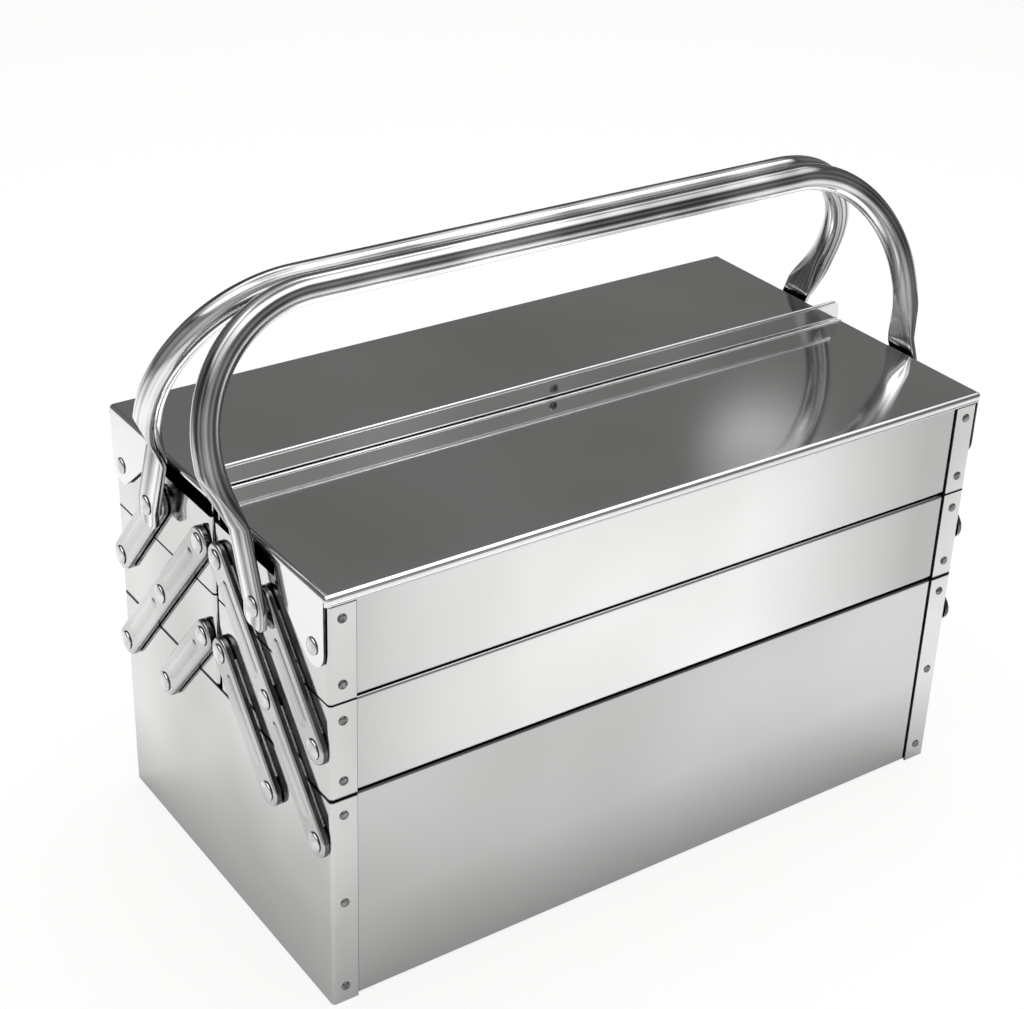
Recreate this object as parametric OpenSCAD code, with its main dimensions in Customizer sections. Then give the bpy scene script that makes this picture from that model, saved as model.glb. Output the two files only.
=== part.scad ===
// Cantilever tool box: a deep base and two pairs of trays that swing out on riveted arms.
// X runs along the box, -Y is the front, +Z is up. The origin is the middle of the underside.
// Every piece is drawn for the rear half and the right end, and mirrored to its own place.

/* [Box] */
// Length over the end panels
body_length = 360; // [300:1:450]
// Depth over the corner strips
body_d = 200; // [190:1:230]
// Height of the base
base_h = 111.4; // [90:0.1:150]
// Height from one rim to the next
tray_pitch = 48.3; // [44:0.1:60]
// Height from the rim of the middle trays to the top of the lids
top_h = 52.9; // [50:0.1:70]
// Gap between the front trays and the rear trays
tray_split = 3; // [2.6:0.1:4]
// Gap under a tray at rest
rest_gap = 0.8; // [0.5:0.1:1.2]

/* [Sheet] */
// Thickness of the box's sheet
sheet_t = 1; // [0.8:0.1:1.1]
// Inside radius of a fold
fold_r = 0.8; // [0.5:0.1:1]
// Width of the rim folded in along a long wall
rim_w = 6; // [5:0.5:8]
// Height of the lip folded down from that rim
rim_lip = 3; // [2.4:0.1:5]
// Width of the rim folded in along an end panel
end_rim_w = 4; // [2:0.5:6]
// Width of the strips that an end panel folds round the corners
strip_w = 13; // [11:0.5:16]
// Width of the foot that an end panel is welded to the floor by
foot_w = 12; // [8:0.5:16]

/* [Lids] */
// Gap between an end panel and a lid's ear
ear_gap = 0.7; // [0.5:0.1:1]
// Gap between the corner strips and a lid's outer flange
flange_gap = 0.3; // [0.2:0.1:0.6]
// Gap between the front lid and the rear lid
lid_split = 0.5; // [0.3:0.1:1]
// Gap between a lid and the inner wall that it rests over
lid_seat = 0.5; // [0.3:0.1:0.8]
// Gap that a tray's outer wall leaves to the lid as it swings
lid_swing_gap = 0.5; // [0.3:0.1:1]
// Height of a lid's outer flange
flange_h = 4.5; // [4.2:0.1:6]
// Height of the lips along a lid's ends
end_lip_h = 2.4; // [2.1:0.1:3]
// Height of the lip along the front lid's inner edge
inner_lip_h = 3; // [2.4:0.1:4]
// Width of the round end of an ear
ear_w = 18; // [16:0.5:20]
// Distance from the hinge rivet to the ear's inner edge
ear_reach = 31; // [26:0.5:36]
// Height of the ear's inner edge, and of the dip in the end panel beside it
ear_dip = 13.4; // [11:0.1:16]
// Height from the hinge rivet to the top of the lid
ear_drop = 27.7; // [25:0.1:30]
// Distance from the hinge rivet to the outside of the corner strip
ear_inset = 10; // [9:0.5:12]
// Height of the rear lid's upright edge above the lids
upright_h = 11; // [8:0.5:14]
// Corner radius of the upright edge
upright_r = 4; // [2:0.5:6]
// Distance from the lid's end to the upright edge
upright_inset = 2.7; // [1:0.1:6]
// Height of the rivet in the upright edge above the lids
upright_rivet_z = 4.6; // [4:0.1:6]

/* [Arms] */
// Width of an arm
arm_w = 15; // [13:0.5:16]
// Thickness of an arm's sheet
arm_t = 1.2; // [1:0.1:1.5]
// Depth of an arm with its folded edge
arm_depth = 3; // [2.6:0.1:3.6]
// Gap between an end panel and the edge of an arm
arm_gap = 0.8; // [0.5:0.1:1.2]
// Gap between the front arms and the rear arms at the middle of the box
arm_split = 2; // [1.5:0.1:4]
// Height from a lower pivot up to the rim of the base
pivot_drop = 23.4; // [18:0.1:28]
// Width of the rib pressed along an arm
rib_w = 6.5; // [5:0.5:8]
// Height of that rib
rib_h = 1; // [0.6:0.1:1.2]
// Distance from a pivot to the end of a rib
rib_start = 9.5; // [8.5:0.5:12]
// The same distance at the pivot that carries a handle
rib_start_handle = 15; // [14:0.5:18]

/* [Rivets] */
// Diameter of a pivot rivet
pivot_d = 5; // [4:0.1:5.5]
// Running clearance of a pivot rivet, on the radius
pivot_play = 0.05; // [0.03:0.01:0.08]
// Clearance between faces that slide on each other
slide_gap = 0.1; // [0.05:0.01:0.15]
// Diameter of a pivot rivet's head
pivot_head_d = 9.5; // [8.5:0.1:10.5]
// Height of a pivot rivet's head
pivot_head_h = 1.5; // [1:0.1:1.8]
// Diameter of a lid rivet's head
ear_head_d = 8; // [7.5:0.1:9]
// Height of a lid rivet's head
ear_head_h = 1.3; // [0.8:0.1:1.5]
// Diameter of the head that closes a pivot rivet inside the box
tail_d = 8; // [7:0.1:8.5]
// Height of that head
tail_h = 1.2; // [0.8:0.1:1.5]
// Diameter of the spacers and washers on the pivots
spacer_d = 9.5; // [8.5:0.1:11]
// Thickness of the washer between an arm and a handle
handle_washer_t = 1.1; // [1:0.1:1.5]
// Diameter of a corner rivet
corner_d = 3; // [2.5:0.1:3.5]
// Diameter of a corner rivet's head
corner_head_d = 4.4; // [4:0.1:5.4]
// Height of a corner rivet's head
corner_head_h = 0.9; // [0.6:0.1:1.2]
// Distance from a panel's top or bottom edge to its corner rivets
corner_inset = 8.5; // [7:0.1:10]

/* [Handles] */
// Diameter of the handle tube
tube_d = 12.7; // [10:0.1:14]
// Wall of the handle tube
tube_wall = 1.2; // [1:0.1:1.5]
// Gap between the two crossbars
bar_gap = 0.5; // [0.3:0.1:2]
// Length of a leg, from its pivot to the crossbar's centre
leg_l = 123; // [113:1:150]
// Distance from an end panel out to a leg's centre
leg_out = 14; // [13:0.1:17]
// Radius of the bends, at the tube's centre
bend_r = 60; // [45:1:64]
// Width of a leg's flattened end
tab_w = 17; // [15:0.5:18]
// Thickness of the flattened end
tab_t = 3; // [2.6:0.1:3.4]
// Length of the flattened end below its pivot
tab_below = 10; // [8:0.5:11]
// Length of the flattened end above its pivot
tab_above = 33; // [26:0.5:36]
// Length of the stretch where the round tube becomes flat
tab_blend = 26; // [20:0.5:28]
// Corner radius of the flattened end
tab_r = 4; // [2:0.5:6]

/* [Hidden] */
// Smoothness of round faces, and of the outline that a flattened leg blends into
$fn = 48;
BLEND_FN = 32;
// Overrun of a cut past the face that it opens
CUT = 1;
// Thickness of the slices that a blend runs between
SLICE = 0.6;
// Difference between the tube and the round end that a blend reaches into it with
BLEND_STEP = 0.1;
// Share of an ear's radius at which its slanting edge ends, so that it crosses the round end
EAR_EDGE_SHARE = 0.97;

fold_out = fold_r + sheet_t;
// A tray's sheet stops short of the end panels' rounded corners
sheet_l = body_length - 2 * fold_out;
half_in = tray_split / 2;
half_out = body_d / 2;
mid_floor = base_h + rest_gap;
mid_rim = base_h + tray_pitch;
top_floor = mid_rim + rest_gap;
lid_top = mid_rim + top_h;
lid_under = lid_top - sheet_t;

// Pivots: the same lattice of three places in depth and three heights carries every arm
pivot_y_out = half_out - arm_w / 2;
pivot_y_in = (arm_split + arm_w) / 2;
pivot_step = (pivot_y_out - pivot_y_in) / 2;
pivot_y_mid = pivot_y_in + pivot_step;
pivot_z_low = base_h - pivot_drop;
pivot_z_mid = pivot_z_low + tray_pitch;
pivot_z_high = pivot_z_mid + tray_pitch;
arm_step = norm([pivot_step, tray_pitch]);
arm_lean = atan2(tray_pitch, pivot_step);

// Lid hinge, and the height at which a tray's outer wall stays clear of the swinging lid
ear_y = half_out - ear_inset;
ear_z = lid_top - ear_drop;
swing_r = ear_drop - sheet_t - lid_swing_gap;
outer_rim = ear_z + sqrt(pow(swing_r, 2) - pow(ear_inset, 2));
inner_rim = lid_under - lid_seat;
dip_z = lid_top - ear_dip;
dip_y = ear_y - ear_reach;
step_cover = 3 * sheet_t;
lid_end = body_length / 2 + ear_gap + sheet_t;
lid_out = half_out + flange_gap + sheet_t;

// Layers outside an end panel, from the panel outwards
wall_x = body_length / 2;
inside_x = wall_x - sheet_t;
arm_x = wall_x + arm_gap;
arm_face = arm_x + arm_depth;
arm_plate = arm_face - arm_t;
arm_seat = arm_face + slide_gap;
tab_x = arm_face + handle_washer_t + 2 * slide_gap;
tab_seat = tab_x + tab_t + slide_gap;
ear_x = wall_x + ear_gap;
ear_seat = ear_x + sheet_t + slide_gap;
bore_d = pivot_d + 2 * pivot_play;

// Handle: its plane leans from the pivots in to the middle of the box
bar_y = (tube_d + bar_gap) / 2;
leg_x = wall_x + leg_out;
leg_lean = asin((pivot_y_mid - bar_y) / leg_l);
bend_z = leg_l - bend_r;
bend_x = leg_x - bend_r;
tube_z = tab_above + tab_blend;

// Sides and ends: a side is 1 at the rear and -1 at the front, an end is 1 at the right and -1 at the left

module on_side(side) {
    if (side > 0) children();
    else mirror([0, 1, 0]) children();
}

module on_end(end) {
    if (end > 0) children();
    else mirror([1, 0, 0]) children();
}

module on_both_ends() {
    for (end = [-1, 1]) on_end(end) children();
}

// Draws a section in Y and Z, centred along X, or a section in X and Z, run along Y

module along_x(length) {
    translate([-length / 2, 0, 0]) rotate([90, 0, 90]) linear_extrude(height = length) children();
}

module along_y(from, to) {
    translate([0, to, 0]) rotate([90, 0, 0]) linear_extrude(height = to - from) children();
}

// Folded sheet

module fold_ring() {
    intersection() {
        difference() {
            circle(r = fold_out);
            circle(r = fold_r);
        }
        square(fold_out);
    }
}

// Half of a channel from its middle to one side: floor, fold and wall
module half_channel(half_w, wall_h) {
    square([half_w - fold_out, sheet_t]);
    translate([half_w - fold_out, fold_out]) rotate(-90) fold_ring();
    translate([half_w - sheet_t, fold_out]) square([sheet_t, wall_h - fold_out]);
}

// Half of a tray's section: a channel with a rim folded in and a lip folded down from it
module half_tray(half_w, wall_h) {
    rim_in = half_w - rim_w;
    half_channel(half_w, wall_h - fold_out);
    translate([half_w - fold_out, wall_h - fold_out]) fold_ring();
    translate([rim_in + fold_out, wall_h - sheet_t]) square([rim_w - 2 * fold_out, sheet_t]);
    translate([rim_in + fold_out, wall_h - fold_out]) rotate(90) fold_ring();
    translate([rim_in, wall_h - rim_lip]) square([sheet_t, rim_lip - fold_out]);
}

// A tray's long walls and floor, from y_in to y_out over its end panels
module tray_sheet(y_in, y_out, floor_z, rim_in_z, rim_out_z) {
    half_w = (y_out - y_in) / 2 - sheet_t;
    color("gainsboro")
    translate([0, (y_in + y_out) / 2, floor_z])
    along_x(sheet_l) {
        half_tray(half_w, rim_out_z - floor_z);
        mirror([1, 0]) half_tray(half_w, rim_in_z - floor_z);
    }
}

// An end panel at the right end: plate, strips round both corners, and a foot on the floor
module end_plate(y_in, y_out, floor_z, rim_z) {
    half_w = (y_out - y_in) / 2;
    translate([wall_x, (y_in + y_out) / 2, floor_z])
    rotate(90)
    linear_extrude(height = rim_z - floor_z) {
        half_channel(half_w, strip_w);
        mirror([1, 0]) half_channel(half_w, strip_w);
    }
    translate([inside_x - foot_w, y_in + sheet_t + fold_out, floor_z + sheet_t])
    cube([foot_w, y_out - y_in - 2 * (sheet_t + fold_out), sheet_t]);
}

module end_rim(from, to, rim_z) {
    translate([inside_x - end_rim_w, from, rim_z - sheet_t]) cube([end_rim_w, to - from, sheet_t]);
}

// Cuts for rivets that run in from the right end, at each [y, z] of a list
module pivot_bores(places) {
    for (p = places)
        translate([inside_x - CUT, p[0], p[1]])
        rotate([0, 90, 0])
        cylinder(d = bore_d, h = sheet_t + 2 * CUT);
}

// Cuts for rivets that run in from the outer long wall, at each [x, z] of a list
module corner_bores(places) {
    for (p = places)
        translate([p[0], half_out + CUT, p[1]])
        rotate([90, 0, 0])
        cylinder(d = corner_d, h = 2 * (sheet_t + CUT));
}

// Rivets, spacers and washers

module dome(base_d, height) {
    ball_r = (pow(base_d / 2, 2) + pow(height, 2)) / (2 * height);
    intersection() {
        translate([0, 0, height - ball_r]) sphere(r = ball_r);
        cylinder(d = base_d, h = height);
    }
}

// A pivot rivet from the inner face of an end panel out to its head
module pivot_rivet(place, seat, head_d, head_h) {
    translate([inside_x, place[0], place[1]])
    rotate([0, 90, 0]) {
        translate([0, 0, -tail_h]) cylinder(d = tail_d, h = tail_h);
        cylinder(d = pivot_d, h = seat - inside_x);
        translate([0, 0, seat - inside_x]) dome(head_d, head_h);
    }
}

// A corner rivet through a strip and the long wall behind it
module corner_rivet(place) {
    translate([place[0], half_out, place[1]])
    rotate([-90, 0, 0]) {
        dome(corner_head_d, corner_head_h);
        translate([0, 0, -2 * sheet_t]) cylinder(d = corner_d, h = 2 * sheet_t);
        translate([0, 0, -2 * sheet_t - corner_head_h]) cylinder(d = corner_head_d, h = corner_head_h);
    }
}

module ring(place, from, to) {
    translate([from, place[0], place[1]])
    rotate([0, 90, 0])
    difference() {
        cylinder(d = spacer_d, h = to - from);
        translate([0, 0, -CUT]) cylinder(d = bore_d, h = to - from + 2 * CUT);
    }
}

module arm_spacer(place) {
    ring(place, wall_x, arm_plate - slide_gap);
}

// Arms

module stadium(length, width, height) {
    translate([0, -width / 2, 0]) cube([length, width, height]);
    cylinder(d = width, h = height);
    translate([length, 0, 0]) cylinder(d = width, h = height);
}

// A rounded rib on an arm's outer face, drawn along X between two places
module rib(from, to) {
    rib_r = (pow(rib_w / 2, 2) + pow(rib_h, 2)) / (2 * rib_h);
    first = from + rib_w / 2;
    last = to - rib_w / 2;
    intersection() {
        translate([0, 0, arm_depth + rib_h - rib_r]) {
            translate([first, 0, 0]) sphere(r = rib_r);
            translate([last, 0, 0]) sphere(r = rib_r);
            translate([first, 0, 0]) rotate([0, 90, 0]) cylinder(r = rib_r, h = last - first);
        }
        translate([from, -rib_w / 2, arm_depth - arm_t / 2])
        cube([to - from, rib_w, rib_h + arm_t]);
    }
}

// An arm at the right rear, from its outer lower pivot up and in over a number of steps
module arm(place, steps, last_rib_gap) {
    length = steps * arm_step;
    color("whitesmoke")
    translate([arm_x, place[0], place[1]])
    rotate([180 - arm_lean, 0, 0])
    rotate([90, 0, 90])
    difference() {
        union() {
            stadium(length, arm_w, arm_depth);
            for (i = [0 : steps - 1])
                rib(
                    i * arm_step + rib_start,
                    (i + 1) * arm_step - (i == steps - 1 ? last_rib_gap : rib_start)
                );
        }
        translate([0, 0, -CUT]) stadium(length, arm_w - 2 * arm_t, arm_depth - arm_t + CUT);
        for (i = [0 : steps])
            translate([i * arm_step, 0, 0]) cylinder(d = bore_d, h = arm_depth + CUT);
    }
}

module long_arm(side, end) {
    on_side(side) on_end(end) arm([pivot_y_out, pivot_z_low], 2, rib_start);
}

module lower_arm(side, end) {
    on_side(side) on_end(end) arm([pivot_y_mid, pivot_z_low], 1, rib_start);
}

module upper_arm(side, end) {
    on_side(side) on_end(end) arm([pivot_y_out, pivot_z_mid], 1, rib_start_handle);
}

// Base

base_pivots = [[pivot_y_out, pivot_z_low], [pivot_y_mid, pivot_z_low]];
corner_x = wall_x - strip_w / 2;
base_corners = [
    for (x = [-corner_x, corner_x], z = [corner_inset, base_h / 2, base_h - corner_inset]) [x, z]
];

module base_body() {
    difference() {
        tray_sheet(-half_out, half_out, 0, base_h, base_h);
        for (side = [-1, 1]) on_side(side) corner_bores(base_corners);
    }
}

module base_end(end) {
    rim_to = half_out - sheet_t - rim_w - fold_r;
    color("gainsboro")
    on_end(end)
    difference() {
        union() {
            end_plate(-half_out, half_out, 0, base_h);
            end_rim(-rim_to, rim_to, base_h);
        }
        for (side = [-1, 1])
            on_side(side) {
                pivot_bores(base_pivots);
                corner_bores(base_corners);
            }
    }
}

module base_corner_rivets() {
    color("silver")
    for (side = [-1, 1], p = base_corners) on_side(side) corner_rivet(p);
}

module base_pivot_rivets() {
    color("silver")
    for (side = [-1, 1], p = base_pivots)
        on_side(side) on_both_ends() pivot_rivet(p, arm_seat, pivot_head_d, pivot_head_h);
}

module base_spacers() {
    color("darkgray")
    for (side = [-1, 1], p = base_pivots) on_side(side) on_both_ends() arm_spacer(p);
}

// Middle trays

mid_pivots = [[pivot_y_out, pivot_z_mid], [pivot_y_mid, pivot_z_mid], [pivot_y_in, pivot_z_mid]];
mid_corners = [
    for (x = [-corner_x, corner_x], z = [mid_floor + corner_inset, mid_rim - corner_inset]) [x, z]
];

module middle_tray(side) {
    on_side(side)
    difference() {
        tray_sheet(half_in, half_out, mid_floor, mid_rim, mid_rim);
        corner_bores(mid_corners);
    }
}

module middle_end(side, end) {
    color("gainsboro")
    on_side(side) on_end(end)
    difference() {
        union() {
            end_plate(half_in, half_out, mid_floor, mid_rim);
            end_rim(half_in + sheet_t + rim_w + fold_r, half_out - sheet_t - rim_w - fold_r, mid_rim);
        }
        pivot_bores(mid_pivots);
        corner_bores(mid_corners);
    }
}

module middle_corner_rivets(side) {
    color("silver")
    for (p = mid_corners) on_side(side) corner_rivet(p);
}

module middle_pivot_rivets(side) {
    color("silver")
    for (p = mid_pivots)
        on_side(side) on_both_ends() pivot_rivet(p, arm_seat, pivot_head_d, pivot_head_h);
}

module middle_spacers(side) {
    color("darkgray")
    for (p = mid_pivots) on_side(side) on_both_ends() arm_spacer(p);
}

// Top trays

handle_pivot = [pivot_y_mid, pivot_z_high];
long_pivot = [pivot_y_in, pivot_z_high];
ear_pivot = [ear_y, ear_z];
top_pivots = [handle_pivot, long_pivot, ear_pivot];
top_corners = [
    for (x = [-corner_x, corner_x], z = [top_floor + corner_inset, outer_rim - corner_inset]) [x, z]
];

module top_tray(side) {
    on_side(side)
    difference() {
        tray_sheet(half_in, half_out, top_floor, inner_rim, outer_rim);
        corner_bores(top_corners);
    }
}

// The end panel dips between the tray's inner wall and the lid's ear
module top_end(side, end) {
    step_y = dip_y + step_cover;
    color("gainsboro")
    on_side(side) on_end(end)
    difference() {
        union() {
            difference() {
                end_plate(half_in, half_out, top_floor, outer_rim);
                translate([inside_x - strip_w - CUT, half_in - CUT, dip_z])
                cube([strip_w + sheet_t + 2 * CUT, step_y - half_in + CUT, outer_rim - dip_z + CUT]);
            }
            end_rim(half_in + 2 * sheet_t + fold_r, step_y, dip_z);
        }
        pivot_bores(top_pivots);
        corner_bores(top_corners);
    }
}

module top_corner_rivets(side) {
    color("silver")
    for (p = top_corners) on_side(side) corner_rivet(p);
}

module top_pivot_rivets(side) {
    color("silver")
    on_side(side) on_both_ends() {
        pivot_rivet(long_pivot, arm_seat, pivot_head_d, pivot_head_h);
        pivot_rivet(handle_pivot, tab_seat, pivot_head_d, pivot_head_h);
    }
}

// Spacers under the arms, a washer under the handle and a thin washer under the lid's ear
module top_spacers(side) {
    color("darkgray")
    on_side(side) on_both_ends() {
        arm_spacer(long_pivot);
        arm_spacer(handle_pivot);
        ring(handle_pivot, arm_seat, tab_x - slide_gap);
        ring(ear_pivot, wall_x, ear_x - slide_gap);
    }
}

// Lids

// A sheet's outline in section, from 0 to w and down from z = 0, with one or both top corners round
module lid_section(width, depth, r, inner_round) {
    from = inner_round ? r : 0;
    translate([0, -depth]) square([width, depth - r]);
    translate([from, -r]) square([width - r - from, r]);
    translate([width - r, -r]) circle(r = r);
    if (inner_round) translate([r, -r]) circle(r = r);
}

// A lid's folded sides before the ears are cut from them
module lid_shell(from, inner_round) {
    depth = ear_drop + ear_w;
    length = 2 * lid_end;
    inner_from = inner_round ? from + sheet_t : from - CUT;
    difference() {
        intersection() {
            translate([0, from, lid_top])
            along_x(length + 2 * CUT)
            lid_section(lid_out - from, depth, fold_out, inner_round);
            translate([-lid_end, 0, lid_top])
            along_y(from - CUT, lid_out + CUT)
            lid_section(length, depth, fold_out, true);
        }
        intersection() {
            translate([0, inner_from, lid_under])
            along_x(length)
            lid_section(lid_out - sheet_t - inner_from, depth + CUT, fold_r, inner_round);
            translate([sheet_t - lid_end, 0, lid_under])
            along_y(from - 2 * CUT, lid_out)
            lid_section(length - 2 * sheet_t, depth + CUT, fold_r, true);
        }
    }
}

// Outline of an ear in Y and Z: round below the hinge rivet, with a slanting inner edge
module ear_outline() {
    reach = norm([ear_reach, ear_drop - ear_dip]);
    touch = atan2(ear_drop - ear_dip, -ear_reach) + acos(ear_w / 2 / reach);
    edge_r = ear_w / 2 * EAR_EDGE_SHARE;
    translate([ear_y, ear_z]) {
        circle(d = ear_w);
        polygon([
            [ear_w / 2, 0],
            [ear_w / 2, ear_drop + CUT],
            [-ear_reach, ear_drop + CUT],
            [-ear_reach, ear_drop - ear_dip],
            [edge_r * cos(touch), edge_r * sin(touch)]
        ]);
    }
}

// What is kept of the shell below its top: a band of one height from y_in to y_out
module lid_band(y_in, y_out, height) {
    translate([-lid_end - CUT, y_in, lid_top - height])
    cube([2 * (lid_end + CUT), y_out - y_in, height + CUT]);
}

module lid_sheet(from, inner_round) {
    lip = 2 * sheet_t;
    difference() {
        intersection() {
            lid_shell(from, inner_round);
            union() {
                lid_band(from - CUT, lid_out + CUT, end_lip_h);
                lid_band(lid_out - lip, lid_out + CUT, flange_h);
                if (inner_round) lid_band(from - CUT, from + lip, inner_lip_h);
                along_x(2 * (lid_end + CUT)) ear_outline();
            }
        }
        on_both_ends()
        translate([wall_x, ear_y, ear_z])
        rotate([0, 90, 0])
        cylinder(d = bore_d, h = leg_out);
    }
}

// The upright edge: the lid's inner edge folded up, with round top corners
module upright_edge() {
    half_l = lid_end - upright_inset;
    wall_z = lid_under + fold_out;
    top = upright_h - fold_r;
    difference() {
        intersection() {
            translate([0, lid_split, wall_z])
            along_x(2 * (half_l + CUT)) {
                translate([fold_out, 0]) rotate(180) fold_ring();
                square([sheet_t, top]);
            }
            translate([-half_l, 0, wall_z + top])
            along_y(0, lid_split + fold_out + CUT)
            lid_section(2 * half_l, top + fold_out + CUT, upright_r, true);
        }
        translate([0, 0, lid_top + upright_rivet_z])
        rotate([-90, 0, 0])
        cylinder(d = corner_d, h = lid_split + sheet_t + CUT);
    }
}

module front_lid() {
    color("gray")
    on_side(-1)
    lid_sheet(0, true);
}

module rear_lid() {
    color("gray") {
        lid_sheet(lid_split + fold_out, false);
        upright_edge();
    }
}

module lid_rivets(side) {
    color("silver")
    on_side(side) on_both_ends() pivot_rivet(ear_pivot, ear_seat, ear_head_d, ear_head_h);
}

module upright_rivet() {
    color("silver")
    translate([0, lid_split, lid_top + upright_rivet_z])
    rotate([90, 0, 0]) {
        dome(corner_head_d, corner_head_h);
        translate([0, 0, -sheet_t]) cylinder(d = corner_d, h = sheet_t);
        translate([0, 0, -sheet_t - corner_head_h]) cylinder(d = corner_head_d, h = corner_head_h);
    }
}

// Handles

// The round part of a handle in its own plane, as a rod of one diameter
module handle_rod(diameter) {
    on_both_ends() {
        translate([leg_x, 0, tube_z]) cylinder(d = diameter, h = bend_z - tube_z);
        translate([bend_x, 0, bend_z])
        rotate([90, 0, 0])
        rotate_extrude(angle = 90)
        translate([bend_r, 0])
        circle(d = diameter);
    }
    translate([-bend_x, 0, leg_l]) rotate([0, 90, 0]) cylinder(d = diameter, h = 2 * bend_x);
}

// A point of the flat end's level foot, as it lies in the leaning plane of the leg
function foot_point(across, up) = [
    across * cos(leg_lean) + up * sin(leg_lean),
    up * cos(leg_lean) - across * sin(leg_lean)
];

// Outline of the flat end: it follows the leg and stops in a level edge with round corners
module tab_outline() {
    side = tab_w / 2;
    mitre = side * tan(leg_lean / 2);
    corner_z = tab_r - tab_below;
    polygon([
        foot_point(-side, corner_z),
        foot_point(tab_r - side, -tab_below),
        foot_point(side - tab_r, -tab_below),
        foot_point(side, corner_z),
        [side, -mitre],
        [side, tab_above + SLICE],
        [-side, tab_above + SLICE],
        [-side, mitre]
    ]);
    for (y = [tab_r - side, side - tab_r]) translate(foot_point(y, corner_z)) circle(r = tab_r);
}

module handle(side) {
    color("lightgray")
    on_side(side)
    translate([0, pivot_y_mid, pivot_z_high])
    rotate([leg_lean, 0, 0]) {
        difference() {
            handle_rod(tube_d);
            handle_rod(tube_d - 2 * tube_wall);
        }
        on_both_ends() {
            hull() {
                translate([leg_x, 0, tube_z]) cylinder(d = tube_d - BLEND_STEP, h = SLICE, $fn = BLEND_FN);
                translate([tab_x, -tab_w / 2, tab_above]) cube([tab_t, tab_w, SLICE]);
            }
            translate([tab_x, 0, 0])
            rotate([90, 0, 90])
            linear_extrude(height = tab_t)
            difference() {
                tab_outline();
                circle(d = bore_d);
            }
        }
    }
}

base_body();
base_end(-1);  // base_end_left
base_end(1);  // base_end_right
base_corner_rivets();
base_pivot_rivets();
base_spacers();

middle_tray(-1);  // front_middle_tray
middle_end(-1, -1);  // front_middle_end_left
middle_end(-1, 1);  // front_middle_end_right
middle_corner_rivets(-1);  // front_middle_corner_rivets
middle_pivot_rivets(-1);  // front_middle_pivot_rivets
middle_spacers(-1);  // front_middle_spacers
middle_tray(1);  // rear_middle_tray
middle_end(1, -1);  // rear_middle_end_left
middle_end(1, 1);  // rear_middle_end_right
middle_corner_rivets(1);  // rear_middle_corner_rivets
middle_pivot_rivets(1);  // rear_middle_pivot_rivets
middle_spacers(1);  // rear_middle_spacers

top_tray(-1);  // front_top_tray
top_end(-1, -1);  // front_top_end_left
top_end(-1, 1);  // front_top_end_right
top_corner_rivets(-1);  // front_top_corner_rivets
top_pivot_rivets(-1);  // front_top_pivot_rivets
top_spacers(-1);  // front_top_spacers
top_tray(1);  // rear_top_tray
top_end(1, -1);  // rear_top_end_left
top_end(1, 1);  // rear_top_end_right
top_corner_rivets(1);  // rear_top_corner_rivets
top_pivot_rivets(1);  // rear_top_pivot_rivets
top_spacers(1);  // rear_top_spacers

front_lid();
lid_rivets(-1);  // front_lid_rivets
rear_lid();
lid_rivets(1);  // rear_lid_rivets
upright_rivet();

long_arm(-1, -1);  // front_long_arm_left
long_arm(-1, 1);  // front_long_arm_right
long_arm(1, -1);  // rear_long_arm_left
long_arm(1, 1);  // rear_long_arm_right
lower_arm(-1, -1);  // front_lower_arm_left
lower_arm(-1, 1);  // front_lower_arm_right
lower_arm(1, -1);  // rear_lower_arm_left
lower_arm(1, 1);  // rear_lower_arm_right
upper_arm(-1, -1);  // front_upper_arm_left
upper_arm(-1, 1);  // front_upper_arm_right
upper_arm(1, -1);  // rear_upper_arm_left
upper_arm(1, 1);  // rear_upper_arm_right

handle(-1);  // front_handle
handle(1);  // rear_handle
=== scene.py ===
# Cantilever tool box of polished stainless steel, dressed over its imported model.
# Sizes are in millimetres, and turned to metres where a shape is made.

import math

import bmesh
import bpy
from mathutils import Matrix, Vector


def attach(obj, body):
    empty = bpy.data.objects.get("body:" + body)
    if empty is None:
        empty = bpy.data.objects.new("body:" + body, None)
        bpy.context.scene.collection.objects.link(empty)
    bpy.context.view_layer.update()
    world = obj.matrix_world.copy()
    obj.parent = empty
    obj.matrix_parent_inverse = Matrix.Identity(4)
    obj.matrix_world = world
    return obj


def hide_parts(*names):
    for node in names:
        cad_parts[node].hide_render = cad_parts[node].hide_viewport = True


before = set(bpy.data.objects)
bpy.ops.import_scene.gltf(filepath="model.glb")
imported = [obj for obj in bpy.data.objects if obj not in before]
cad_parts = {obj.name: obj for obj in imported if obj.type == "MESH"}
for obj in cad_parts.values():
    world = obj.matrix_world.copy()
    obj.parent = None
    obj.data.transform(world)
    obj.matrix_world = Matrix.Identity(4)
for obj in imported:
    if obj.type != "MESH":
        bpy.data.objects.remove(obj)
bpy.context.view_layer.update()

MM = 0.001
SIDES = {"rear": 1, "front": -1}
ENDS = {"right": 1, "left": -1}

# How close to a plane counts as lying on it, and how close points are merged into one
NEAR, MERGE = 0.01, 0.002
# The sharpest turn between faces that is shaded smooth, in degrees
SMOOTH_TURN = 30

# Box and sheet
BODY_L, BODY_D, BASE_H, TRAY_PITCH, TOP_H = 360, 200, 111.4, 48.3, 52.9
SHEET_T, STRIP_W, LEVEL_GAP = 1, 13, 0.8
WALL_X, HALF_D = BODY_L / 2, BODY_D / 2
INSIDE_X, CORNER_X = WALL_X - SHEET_T, WALL_X - STRIP_W / 2
MID_FLOOR, TOP_FLOOR = BASE_H + LEVEL_GAP, BASE_H + TRAY_PITCH + LEVEL_GAP
OUTER_RIM = 209.116

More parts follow.
